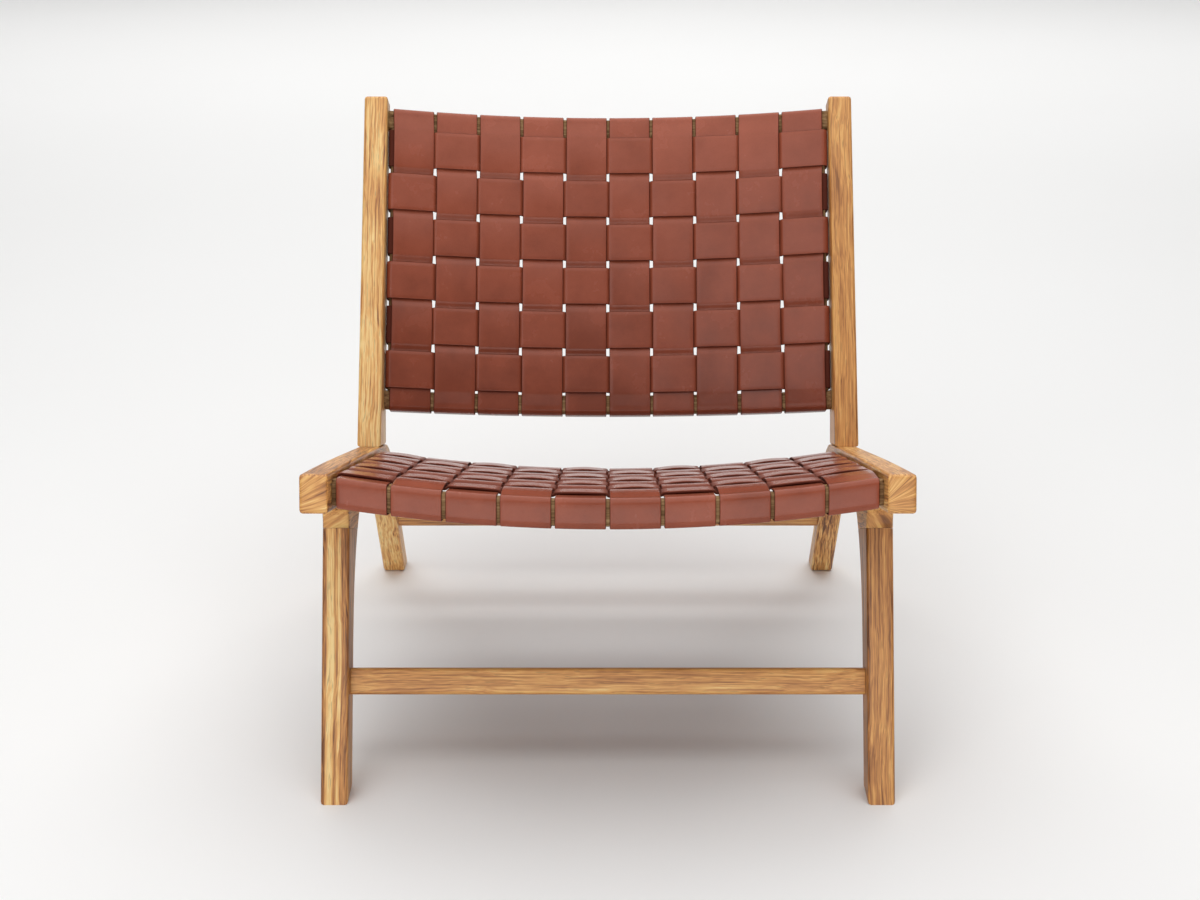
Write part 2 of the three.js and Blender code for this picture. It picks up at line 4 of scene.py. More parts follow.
import bmesh
import bpy
import numpy as np
from mathutils import Matrix, Vector


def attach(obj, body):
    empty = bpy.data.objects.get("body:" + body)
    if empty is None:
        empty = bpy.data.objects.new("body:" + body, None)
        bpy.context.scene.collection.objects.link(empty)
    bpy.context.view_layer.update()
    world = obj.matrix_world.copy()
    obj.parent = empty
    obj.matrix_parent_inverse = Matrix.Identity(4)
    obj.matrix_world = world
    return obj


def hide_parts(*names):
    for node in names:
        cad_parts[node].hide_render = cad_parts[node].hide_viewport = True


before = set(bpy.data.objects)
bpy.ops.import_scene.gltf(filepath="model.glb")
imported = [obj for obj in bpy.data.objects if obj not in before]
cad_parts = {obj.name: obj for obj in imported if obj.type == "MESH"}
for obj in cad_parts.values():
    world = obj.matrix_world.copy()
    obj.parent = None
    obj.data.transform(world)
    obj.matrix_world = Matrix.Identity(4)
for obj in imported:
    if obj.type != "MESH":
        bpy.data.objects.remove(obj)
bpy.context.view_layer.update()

# A lounge chair with a woven strap seat and back. The straps are made again with rounded edges, tacks are
# added, and the wooden pieces keep the shapes of the solids. Sizes of the frame, straps and tacks are in
# millimetres, until bowed() sets a point in the chair. Those of the grain, floor and camera are in metres.

MM = 0.001
ACROSS = Vector((1, 0, 0))
UP = Vector((0, 0, 1))
rng = random.Random(11)

# Sizes of the frame, as in the solids. Places are measured from the rail's front end.
CHAIR_WIDTH = 612.6
SIDE_THICKNESS = 29.0
INNER_FACE = CHAIR_WIDTH / 2 - SIDE_THICKNESS
RAIL_FRONT_HEIGHT = 388.1
SEAT_TILT = math.radians(16.0)
SEAT_INSET = 26.5  # of the front bar, along the rail
SEAT_DROP = 9.5  # of the bars' top faces under the rail's top
POST_OVERLAP = 13.0  # how far the post's front edge stands in front of the seat's rear end
POST_RECLINE = math.radians(29.0)
BACK_UP = 53.8  # of the bottom bar, along the post
BACK_SETBACK = 22.0  # of the weave there, behind the post's front edge
BACK_RECLINE = math.radians(27.0)
SHIFT_Y = -360.79  # from the frame's origin to the rail's front end

# Sizes of the weave, as in the solids.
STRAPS = 10
STRAP_WIDTH = 51.5
CROSS_WIDTH = 47.2
THICKNESS = 2.5
LEATHER_GAP = 0.3  # between a strap and the wood that it lies on
WEAVE_GAP = 0.4  # between two straps where they cross
LOOP_GAP = 1.0  # between a cross strap's loop and the side frame
LEVEL = (THICKNESS + WEAVE_GAP) / 2  # of a strap's middle over or under the weave's own
SKIN = THICKNESS / 2 + LEATHER_GAP  # from the wood to the middle of a strap on it
BED = -LEVEL - SKIN  # of the bars' and slats' top faces
STRAP_END = 3.0  # from a strap's hidden end to the inner edge of its bar or slat
SLAT = {"width": 18.0, "depth": 16.0, "round": 2.5}
BAR_ROUND = 4.0

# The two panels. Their sizes: the number of cross straps, the gaps between these and beside the bars, the
# bars, the depth of the bow, and the inset of the outer straps from the slats' outer faces. Their looks:
# how far straps arch over a crossing, how far cross straps dip in between, how much painted shade darkens
# straps where they go under a crossing, how polished they are, and how strongly a painted shade gradient
# darkens them towards the panel's near end and pales them towards its far end.
SEAT = {
    "name": "seat",
    "rows": 7,
    "row_gap": 10.8,
    "bar_gap": 2.6,
    "bars": [
        {"name": "seat_front_bar", "width": 30.0, "depth": 26.4},
        {"name": "seat_rear_bar", "width": 30.0, "depth": 26.4},
    ],
    "bow": 21.5,
    "inset": 0.9,
    "arch": {"strap": 1.4, "first_row": 0.7, "row": 2.0},
    "dip": 0.9,
    "shade": 1.0,
    "polish": 1.0,
    "shade_gradient": 0.0,
}
BACK = {
    "name": "back",
    "rows": 6,
    "row_gap": 9.4,
    "bar_gap": 2.2,
    "bars": [
        {"name": "back_bottom_bar", "width": 22.7, "depth": 19.0},
        {"name": "back_top_bar", "width": 23.8, "depth": 19.0},
    ],
    "bow": 42.0,
    "inset": 3.0,
    "arch": {"strap": 0.9, "first_row": 0.6, "row": 0.6},
    "dip": 0.0,
    "shade": 0.0,
    "polish": 0.0,
    "shade_gradient": 1.3,
}

# Layout of the panels


def lay_out(panel):
    """Works out where the straps lie on the flat panel, its length and the radius of its bow."""
    near, far = panel["bars"]
    row_pitch = CROSS_WIDTH + panel["row_gap"]
    first = near["width"] + panel["bar_gap"] + CROSS_WIDTH / 2
    panel["row_places"] = [first + row * row_pitch for row in range(panel["rows"])]
    panel["length"] = panel["row_places"][-1] + CROSS_WIDTH / 2 + panel["bar_gap"] + far["width"]
    radius = (INNER_FACE**2 + panel["bow"] ** 2) / (2 * panel["bow"])
    panel["radius"] = radius
    loop = radius * math.asin((INNER_FACE - LOOP_GAP) / (radius - BED))
    panel["slat_face"] = loop - THICKNESS - LEATHER_GAP
    span = 2 * (panel["slat_face"] - panel["inset"])
    pitch = (span - STRAP_WIDTH) / (STRAPS - 1)
    panel["strap_places"] = [pitch * (strap - (STRAPS - 1) / 2) for strap in range(STRAPS)]


def on_rail(along, above):
    """Depth and height of a place along the rail and above its top edge."""
    y = along * math.cos(SEAT_TILT) + above * math.sin(SEAT_TILT)
    z = RAIL_FRONT_HEIGHT - along * math.sin(SEAT_TILT) + above * math.cos(SEAT_TILT)
    return y, z


def on_post(along, behind):
    """Depth and height of a place along the post and behind its front edge."""
    y, z = on_rail(SEAT_INSET + SEAT["length"] - POST_OVERLAP, 0.0)
    y += along * math.sin(POST_RECLINE) + behind * math.cos(POST_RECLINE)
    z += along * math.cos(POST_RECLINE) - behind * math.sin(POST_RECLINE)
    return y, z


def panel_matrix(place, turn):
    """Sets a flat panel's near end at a depth and height, with its length turned up by an angle."""
    return Matrix.Translation((0.0, place[0] + SHIFT_Y, place[1])) @ Matrix.Rotation(turn, 4, "X")


lay_out(SEAT)
lay_out(BACK)
SEAT["matrix"] = panel_matrix(on_rail(SEAT_INSET, -SEAT_DROP - BED), -SEAT_TILT)
BACK["matrix"] = panel_matrix(on_post(BACK_UP, BACK_SETBACK), math.pi / 2 - BACK_RECLINE)


def bowed(panel, across, along, above):
    """Points of the flat panel, bowed and set in the chair, in metres."""
    radius = panel["radius"]
    angle = across / radius
    x = (radius - np.maximum(above, BED)) * np.sin(angle)
    z = radius - panel["bow"] - (radius - above) * np.cos(angle)
    points = np.stack([x, along, z, np.ones_like(x)], axis=-1)
    return (points @ np.array(panel["matrix"]).T)[..., :3] * MM


# Meshes


def add_object(name, data):
    obj = bpy.data.objects.new(name, data)
    bpy.context.scene.collection.objects.link(obj)
    return obj


def new_mesh(name, verts, faces):
    mesh = bpy.data.meshes.new(name)
    mesh.from_pydata(verts, [], faces)
    mesh.update()
    mesh.shade_smooth()
    return mesh


def set_attribute(mesh, name, values, domain="POINT"):
    """Keeps one number or one vector for each point, corner or face, for the material to read."""
    values = np.asarray(values, np.float32)
    kind, field = ("FLOAT_VECTOR", "vector") if values.ndim == 2 else ("FLOAT", "value")
    mesh.attributes.new(name, kind, domain).data.foreach_set(field, values.ravel())


# The middle line of a strap, as places along it and heights

EDGE = 0.9  # width of a strap's rounded edge
# Points along each stretch of the line.
STEPS = {"tip": 5, "corner": 8, "flat": 4, "short_rise": 12, "rise": 16, "crossing": 13, "ramp": 10}
SAME_POINT = 0.02
SHORT_RISE_SHAPE = 0.9  # its height as a share of its length
RISE_BEND = 0.25  # share of a long rise from a bar that bends into each level
RAMP_BEND = 0.4  # the same for the slope between two crossings


def blend(start, end, along, up):
    """Points from start to end, at shares of the way along and of the way up."""
    run = end[0] - start[0]
    rise = end[1] - start[1]
    return [(start[0] + run * a, start[1] + rise * b) for a, b in zip(along, up)]


def straight(start, end, count):
    shares = np.linspace(0.0, 1.0, count)
    return blend(start, end, shares, shares)


def ease(start, end, count, bend):
    """A straight slope between two levels, bent smoothly into them at both ends."""
    along = np.linspace(0.0, 1.0, count)
    nearest = np.minimum(along, 1 - along)
    up = np.where(nearest < bend, nearest**2 / (2 * bend), nearest - bend / 2) / (1 - bend)
    up = np.where(along > 0.5, 1 - up, up)
    return blend(start, end, along, up)


def ellipse(x, y, rx, ry, start, end, count):
    angles = np.radians(np.linspace(start, end, count))
    return [(x + rx * math.cos(a), y + ry * math.sin(a)) for a in angles]


def wrap(support, crossing, ramp):
    """A strap's end from its hidden tip round a bar or slat to the first strap that it crosses."""
    inward, face, corner = support["inward"], support["face"], support["round"]
    turn = corner + SKIN
    hidden = BED - support["depth"] - SKIN
    flat = inward * (crossing["place"] - face) - (crossing["width"] / 2 - EDGE)
    line = straight((support["width"] - STRAP_END, hidden), (corner, hidden), STEPS["tip"])
    line += ellipse(corner, hidden + turn, turn, turn, -90, -180, STEPS["corner"])
    if crossing["over"] and flat - ramp < corner:
        rx = flat + SKIN
        ry = SHORT_RISE_SHAPE * rx
        line += straight((-SKIN, hidden + turn), (-SKIN, LEVEL - ry), STEPS["flat"])
        line += ellipse(flat, LEVEL - ry, rx, ry, 180, 90, STEPS["short_rise"])
    else:
        line += straight((-SKIN, hidden + turn), (-SKIN, -LEVEL - turn), STEPS["flat"])
        line += ellipse(corner, -LEVEL - turn, turn, turn, 180, 90, STEPS["corner"])
        if crossing["over"]:
            line += ease((corner, -LEVEL), (flat, LEVEL), STEPS["rise"], RISE_BEND)
        else:
            line += straight((corner, -LEVEL), (flat, -LEVEL), STEPS["flat"])
    return [(face + inward * x, y) for x, y in line]


def gap_between(crossings):
    """The gap between two of the straps that a strap crosses."""
    return crossings[1]["place"] - crossings[0]["place"] - crossings[0]["width"]


def middle_line(supports, crossings):
    """A strap's way from hidden tip to hidden tip, over and under the straps that it crosses."""
    ramp = gap_between(crossings) + 2 * EDGE
    line = wrap(supports[0], crossings[0], ramp)
    for crossing, following in zip(crossings, crossings[1:] + [None]):
        half = crossing["width"] / 2 - EDGE
        level = LEVEL if crossing["over"] else -LEVEL
        start = (crossing["place"] - half, level)
        end = (crossing["place"] + half, level)
        line += straight(start, end, STEPS["crossing"])
        if following:
            line += ease(end, (following["place"] - half, -level), STEPS["ramp"], RAMP_BEND)
    line += wrap(supports[1], crossings[-1], ramp)[::-1]
    points = [line[0]]
    for point in line[1:]:
        if math.dist(point, points[-1]) > SAME_POINT:
            points.append(point)
    return np.array(points)


# The arch and the painted shade of a strap along its middle line

ARCH_POWER = 1.3
ARCH_SPREAD = (0.85, 1.15)
DIP_WIDTH = 1.1
# A strap this much lower than where it goes under another is on its way round a bar or slat.
WRAP_START = 0.6
# How far painted shade reaches past a crossing, on lengthwise straps and on cross straps.
PAINTED_SHADE_REACH = {"strap": 26.0, "row": 8.0}


def on_panel(line):
    """Which points of a line lie on the panel."""
    return line[:, 1] > -LEVEL - WRAP_START


def arched(line, crossings, arch, dip):
    """How far a strap stands up over each strap that it crosses and dips between two of them."""
    reach = crossings[0]["width"] / 2 + gap_between(crossings) / 2
    lift = np.zeros(len(line))
    for crossing in crossings:
        if crossing["over"]:
            share = (line[:, 0] - crossing["place"]) / reach
            hump = np.clip(1 - share * share, 0, None) ** ARCH_POWER
            lift += np.where(on_panel(line), hump, 0) * arch * rng.uniform(*ARCH_SPREAD)
    for crossing, following in zip(crossings, crossings[1:]):
        between = (crossing["place"] + following["place"]) / 2
        lift -= dip * np.exp(-(((line[:, 0] - between) / DIP_WIDTH) ** 2))
    return lift


def painted_shade_under(line, crossings, reach, strength):
    """How much painted shade a strap gets where it goes under another, from 0 to 1, but not towards its
    own ends.
    """
    dark = np.zeros(len(line))
    for i, crossing in enumerate(crossings):
        if not crossing["over"]:
            beside = line[:, 0] - crossing["place"]
            under = np.clip(1 - (np.abs(beside) - crossing["width"] / 2) / reach, 0, 1) * strength
            if i == 0:
                under[beside < 0] = 0
            if i == len(crossings) - 1:
                under[beside > 0] = 0
            dark = np.maximum(dark, np.where(on_panel(line), under, 0))
    return dark


def paint_shade_in_slits(line, crossings, dark):
    """Paints full shade on an end that leaves the weave from under a strap, down in the slit beside the
    side frame.
    """
    for end, outward in ((crossings[0], -1), (crossings[-1], 1)):
        if not end["over"]:
            dark[outward * (line[:, 0] - end["place"]) > 0] = 1.0


# The skin of a strap

EDGE_TURNS = np.radians([0, 15, 35, 60, 90])
SECTION_STEPS = 11
EDGE_SAG = 0.12  # share of the arch that is lost at a strap's edges
EDGE_SAG_POWER = 3
WANDER = 0.25
WANDER_LENGTH = (60, 110)
WANDER_PHASE = (0, 6.28)
HIDE_SPREAD = (0, 5)
HIDE_SIDE = 0.01  # sets the pattern of the upper and lower face apart
TONE_SPREAD = 0.35
SHADE_GRADIENT_SHIFT = 0.35  # shifts the painted shade gradient darker, so that a panel's middle is darker too
POLISH_START = 0.2  # a strap is polished down to this much lower than where it goes under another


def section(width):
    """Half of a strap's section, from edge to edge: places across it and half its thickness there."""
    flat = width / 2 - EDGE
    edge = flat + EDGE * np.cos(EDGE_TURNS)
    thick = THICKNESS / 2 * np.sin(EDGE_TURNS)
    inner = np.linspace(-flat, flat, SECTION_STEPS)[1:-1]
    across = np.concatenate([-edge, inner, edge[::-1]])
    half = np.concatenate([thick, np.full(len(inner), THICKNESS / 2), thick[::-1]])
    return across, half


def normals_and_run(line):
    """The line's normals and the length of the strap up to each point."""
    tangent = np.gradient(line, axis=0)
    tangent /= np.linalg.norm(tangent, axis=1)[:, None]
    normals = np.stack([-tangent[:, 1], tangent[:, 0]], axis=1)
    steps = np.linalg.norm(np.diff(line, axis=0), axis=1)
    return normals, np.concatenate([[0.0], np.cumsum(steps)])


def side_faces(rings, count, flip):
    """Faces between each ring of points and the following one."""
    faces = []
    for first in range(0, (rings - 1) * count, count):
        for i in range(count):
            j = (i + 1) % count
            quad = (first + i, first + j, first + count + j, first + count + i)
            faces.append(quad[::-1] if flip else quad)
    return faces


def end_faces(first, count, top, flip):
    """Faces that close an end ring, between its upper points, top in number, and its lower ones."""
    faces = []
    for i in range(top - 1):
        lower = first + (count - i) % count
        lower_next = first + (count - i - 1 if i + 1 < top - 1 else top - 1)
        corners = list(dict.fromkeys((first + i, first + i + 1, lower_next, lower)))
        faces.append(tuple(corners[::-1] if flip else corners))
    return faces


def strap_piece(name, panel, shape, place, width, lengthwise):
    """A strap's object and its length, from the middle line, the arch and the painted shade."""
    line, lift, dark = shape
    across, half = section(width)
    ring_across = np.concatenate([across, across[-2:0:-1]])
    ring_half = np.concatenate([half, -half[-2:0:-1]])
    count, rings = len(ring_across), len(line)
    normals, run = normals_and_run(line)
    edge = np.abs(ring_across) / (width / 2)

    wander = WANDER * np.sin(run / rng.uniform(*WANDER_LENGTH) + rng.uniform(*WANDER_PHASE))
    along = line[:, :1] + normals[:, :1] * ring_half
    above = line[:, 1:] + normals[:, 1:] * ring_half
    above += lift[:, None] * (1 - EDGE_SAG * edge**EDGE_SAG_POWER)
    beside = place + wander[:, None] + ring_across
    points = bowed(panel, beside, along, above) if lengthwise else bowed(panel, along, beside, above)
    faces = side_faces(rings, count, not lengthwise)
    faces += end_faces(0, count, len(across), lengthwise)
    faces += end_faces((rings - 1) * count, count, len(across), not lengthwise)
    mesh = new_mesh(name, points.reshape(-1, 3).tolist(), faces)

    hide_along = np.repeat(run, count) * MM + rng.uniform(*HIDE_SPREAD)
    hide_across = np.tile(ring_across, rings) * MM + rng.uniform(*HIDE_SPREAD)
    hide_side = np.tile(np.sign(ring_half) * HIDE_SIDE, rings)
    up = (along if lengthwise else beside) / panel["length"] - 0.5
    # A random tone, plus on the back a painted shade gradient, darker towards its bottom and paler towards
    # its top.
    tone = rng.uniform(-TONE_SPREAD, TONE_SPREAD) + panel["shade_gradient"] * (2 * up - SHADE_GRADIENT_SHIFT)
    polish = panel["polish"] * (line[:, 1] > -LEVEL - POLISH_START)
    set_attribute(mesh, "edge", np.tile(edge, rings))
    set_attribute(mesh, "hide", np.stack([hide_along, hide_across, hide_side], axis=1))
    set_attribute(mesh, "tone", tone.ravel())
    set_attribute(mesh, "polish", np.repeat(polish, count))
    # Painted shade: darker where the strap goes under a crossing and in the slits beside the side frame.
    set_attribute(mesh, "painted_shade", np.repeat(dark, count))
    return add_object(name, mesh), float(run[-1])


# Both woven panels


def is_over(strap, row):
    """Whether a lengthwise strap passes over a cross strap."""
    return (strap + row) % 2 == 1


def bar_supports(panel):
    near, far = panel["bars"]
    return [
        dict(near, round=BAR_ROUND, face=0.0, inward=1),
        dict(far, round=BAR_ROUND, face=panel["length"], inward=-1),
    ]


def slat_supports(panel):
    return [dict(SLAT, face=sign * panel["slat_face"], inward=-sign) for sign in (-1, 1)]


def lengthwise_strap(panel, strap):
    """A strap's object, node, width and length, and the bars that it is stretched round."""
    crossings = [
        {"place": place, "width": CROSS_WIDTH, "over": is_over(strap, row)}
        for row, place in enumerate(panel["row_places"])
    ]
    line = middle_line(bar_supports(panel), crossings)
    lift = arched(line, crossings, panel["arch"]["strap"], 0.0)
    dark = painted_shade_under(line, crossings, PAINTED_SHADE_REACH["strap"], panel["shade"])
    node = f"{panel['name']}_strap_{strap + 1}"
    place = panel["strap_places"][strap]
    bars = [bar["name"] for bar in panel["bars"]]
    obj, length = strap_piece(f"leather_{node}", panel, (line, lift, dark), place, STRAP_WIDTH, True)
    return obj, node, STRAP_WIDTH, length, bars


def cross_strap(panel, row):
    """A strap's object, node, width and length, and the slats that it is stretched round."""
    crossings = [
        {"place": place, "width": STRAP_WIDTH, "over": not is_over(strap, row)}
        for strap, place in enumerate(panel["strap_places"])
    ]
    line = middle_line(slat_supports(panel), crossings)
    lift = arched(line, crossings, panel["arch"]["row" if row else "first_row"], panel["dip"])
    dark = painted_shade_under(line, crossings, PAINTED_SHADE_REACH["row"], panel["shade"])
    # Painted shade on the ends down in the slits beside the side frame.
    paint_shade_in_slits(line, crossings, dark)
    node = f"{panel['name']}_cross_strap_{row + 1}"
    place = panel["row_places"][row]
    slats = [f"{panel['name']}_side_slat_{side}" for side in ("left", "right")]
    obj, length = strap_piece(f"leather_{node}", panel, (line, lift, dark), place, CROSS_WIDTH, False)
    return obj, node, CROSS_WIDTH, length, slats


straps = []
for panel in (SEAT, BACK):
    straps += [lengthwise_strap(panel, strap) for strap in range(STRAPS)]
    straps += [cross_strap(panel, row) for row in range(panel["rows"])]


# Tacks on the hidden faces

# Radius and height of each ring of points of a domed head.
TACK_RINGS = [(4.2, 0.0), (4.2, 0.2), (3.9, 0.45), (3.0, 0.75), (1.6, 0.95)]
TACK_TOP = 1.0
TACK_SIDES = 12
TACK_LIFT = 0.06  # from the leather
TACK_SHARP = math.radians(50)
# How far tacks sit from a strap's middle, and inward as a share of the bar's or slat's width.
STRAP_TACKS = {"beside": 14.0, "inward": 0.64}
CROSS_TACKS = {"beside": 13.0, "inward": 0.52}


def tack_places(panel):
    """Two places on each hidden strap end, across and along the flat panel and above it."""
    places = []
    for support in bar_supports(panel):
        along = support["face"] + support["inward"] * support["width"] * STRAP_TACKS["inward"]
        for place in panel["strap_places"]:
            for side in (-1, 1):
                places.append((place + side * STRAP_TACKS["beside"], along, BED - support["depth"]))
    for support in slat_supports(panel):
        across = support["face"] + support["inward"] * support["width"] * CROSS_TACKS["inward"]
        for place in panel["row_places"]:
            for side in (-1, 1):
                places.append((across, place + side * CROSS_TACKS["beside"], BED - support["depth"]))
    return places


def tack_points(panel, across, along, above):
    """The rings of a domed head on the outer face of a strap's hidden end, and its top."""
    base = above - LEATHER_GAP - THICKNESS - TACK_LIFT
    heights = np.array([base, base - 1])
    origin, below = bowed(panel, np.full(2, across), np.full(2, along), heights)
    out = Vector(below - origin).normalized()
    origin = Vector(origin)
    side = ACROSS.cross(out).normalized()
    other = out.cross(side)
    points = []
    for radius, height in TACK_RINGS:
        for i in range(TACK_SIDES):
            angle = i * math.tau / TACK_SIDES
            flat = side * math.cos(angle) + other * math.sin(angle)
            points.append(origin + (flat * radius + out * height) * MM)
    return points + [origin + out * TACK_TOP * MM]


def tacks(panel):
    """All tacks of a panel as one object."""
    name = f"{panel['name']}_tacks"
    verts, faces = [], []
    for place in tack_places(panel):
        first = len(verts)
        verts += tack_points(panel, *place)
        rings = side_faces(len(TACK_RINGS), TACK_SIDES, False)
        faces += [tuple(first + corner for corner in face) for face in rings]
        crown = first + (len(TACK_RINGS) - 1) * TACK_SIDES
        top = len(verts) - 1
        faces += [(crown + i, crown + (i + 1) % TACK_SIDES, top) for i in range(TACK_SIDES)]
        faces.append(tuple(first + i for i in reversed(range(TACK_SIDES))))
    mesh = new_mesh(name, verts, faces)
    mesh.set_sharp_from_angle(angle=TACK_SHARP)
    return add_object(name, mesh)


tack_heads = [tacks(SEAT), tacks(BACK)]

# Wooden pieces: the solids' own shapes with smooth edges, and the run of the grain in each

FRONT_LEG_LEAN = math.radians(22.0)
REAR_LEG_FALL = math.radians(50.0)


def falling(angle, aside=0.0):
    """Along a piece that falls to the rear by an angle, and runs aside by a share."""
    return Vector((aside, math.cos(angle), -math.sin(angle))).normalized()


def leaning(angle):
    """Along a piece that leans to the rear by an angle from upright."""
    return falling(angle - math.pi / 2)


# The grain runs across the chair in all other pieces.
GRAIN = {
    "seat_rail": falling(SEAT_TILT),
    "front_leg": leaning(FRONT_LEG_LEAN),
    "rear_leg_left": falling(REAR_LEG_FALL, aside=-0.55),
    "rear_leg_right": falling(REAR_LEG_FALL, aside=0.4),
    "back_post": leaning(POST_RECLINE),
    "seat_side_slat": falling(SEAT_TILT),
    "back_side_slat": leaning(BACK_RECLINE),
}
# How much paler or browner a piece is, how strongly it is striped, and how lively its figure is.
TONE = {
    "back_post_left": (0.12, 0.0, 1.1),
    "back_post_right": (-0.035, 0.0, 0.65),
    "front_leg_left": (-0.04, 0.8, 0.75),
    "front_leg_right": (-0.17, 0.05, 0.7),
    "seat_rail_left": (-0.1, 0.0, 0.9),
    "seat_rail_right": (0.0, 0.0, 0.9),
    "rear_leg_left": (0.15, 0.0, 1.1),
    "rear_leg_right": (-0.03, 0.0, 1.5),
    "front_stretcher": (0.01, 0.0, 0.65),
    "rear_stretcher": (-0.12, 0.0, 0.8),
}
OTHER_TONE = (0.0, 0.2, 0.8)
# How much paler the foot of a piece is than its top.
FOOT = {"back_post_left": 0.2}
# Where the streaks of an end face spread from, beside the piece's middle and above RAYS_HEIGHT, and how
# much paler the face is.
RAYS = {
    "end": {"seat_rail_left": (-0.06, -0.02, 0.04), "seat_rail_right": (-0.024, -0.006, 0.0)},
    "stub": {"seat_rail_left": (-0.1, -0.1, 0.16), "seat_rail_right": (-0.1, 0.1, -0.04)},
}
OTHER_RAYS = (-0.05, -0.03, 0.0)
RAYS_HEIGHT = {"end": 0.36, "stub": 0.32}
STUB_TOP = 0.335  # a rail's faces lower than this belong to the stub under it
# How squarely a face cuts the grain where end grain starts to show, and where nothing else does.
END_GRAIN = (0.6, 0.9)
# Spread of a piece's place in its trunk, along it and both ways across.
TRUNK_SPREAD = ((-3, 3), (0.05, 0.11), (0.01, 0.05))
JOIN_DISTANCE = 2e-6
FLAT_ANGLE = math.radians(0.05)
WOOD_SHARP = math.radians(52)


def copy_of_solid(node):
    """The solid's mesh with its flat faces in one piece."""
    build = bmesh.new()
    build.from_mesh(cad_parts[node].data)
    bmesh.ops.remove_doubles(build, verts=build.verts, dist=JOIN_DISTANCE)
    bmesh.ops.dissolve_limit(build, angle_limit=FLAT_ANGLE, verts=build.verts, edges=build.edges)
    mesh = bpy.data.meshes.new(f"wood_{node}")
    build.to_mesh(mesh)
    build.free()
    # The solid's own texture places aren't used.
    while mesh.attributes.get("UVMap"):
        mesh.attributes.remove(mesh.attributes["UVMap"])
    return mesh


def grain_places(along, co):
    """Each point's place along the grain and both ways across it, from the middle of a trunk."""
    first = UP if along == ACROSS else ACROSS
    second = along.cross(first).normalized()
    trunk = [rng.uniform(*spread) for spread in TRUNK_SPREAD]
    from_centre = co - co.mean(0)
    places = [from_centre @ np.array(direction) for direction in (along, first, second)]
    return np.stack(places, axis=1) + np.array(trunk)


def end_rays(node, mesh, co):
    """How far each face corner is from where an end face's streaks spread from, and the face's tone."""
    rays = np.zeros((len(mesh.loops), 3), np.float32)
    middle = (co[:, 0].min() + co[:, 0].max()) / 2
    for face in mesh.polygons:
        kind = "stub" if node.startswith("seat_rail") and face.center.z < STUB_TOP else "end"
        beside, above, tone = RAYS[kind].get(node, OTHER_RAYS)
        for corner in face.loop_indices:
            x, _, z = co[mesh.loops[corner].vertex_index]
            rays[corner] = x - middle - beside, tone, z - RAYS_HEIGHT[kind] - above
    return rays


def wood_piece(node):
    """A wooden piece with what its material reads, and even shading over its rounded edges."""
    mesh = copy_of_solid(node)
    along = next((value for key, value in GRAIN.items() if node.startswith(key)), ACROSS)
    co = np.array([vertex.co for vertex in mesh.vertices], np.float32)
    low, high = co.min(0), co.max(0)
    cut = np.array([abs(face.normal.dot(along)) for face in mesh.polygons])
    tone, bands, figure = TONE.get(node, OTHER_TONE)
    from_top = (high[2] - co[:, 2]) / (high[2] - low[2])
    set_attribute(mesh, "grain", grain_places(along, co))
    set_attribute(mesh, "aside", (co[:, 0] - low[0]) / (high[0] - low[0]))
    set_attribute(mesh, "rays", end_rays(node, mesh, co), "CORNER")
    set_attribute(mesh, "end_grain", np.interp(cut, END_GRAIN, (0, 1)), "FACE")
    set_attribute(mesh, "tone", tone + FOOT.get(node, 0.0) * from_top)
    set_attribute(mesh, "bands", np.full(len(co), bands))
    set_attribute(mesh, "figure", np.full(len(co), figure))
    mesh.shade_smooth()
    mesh.set_sharp_from_angle(angle=WOOD_SHARP)
    obj = add_object(f"wood_{node}", mesh)
    obj.modifiers.new("even_shading", "WEIGHTED_NORMAL").keep_sharp = True
    return obj


strap_nodes = {node for _, node, *_ in straps}
wood = {node: wood_piece(node) for node in sorted(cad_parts) if node not in strap_nodes}

# Materials


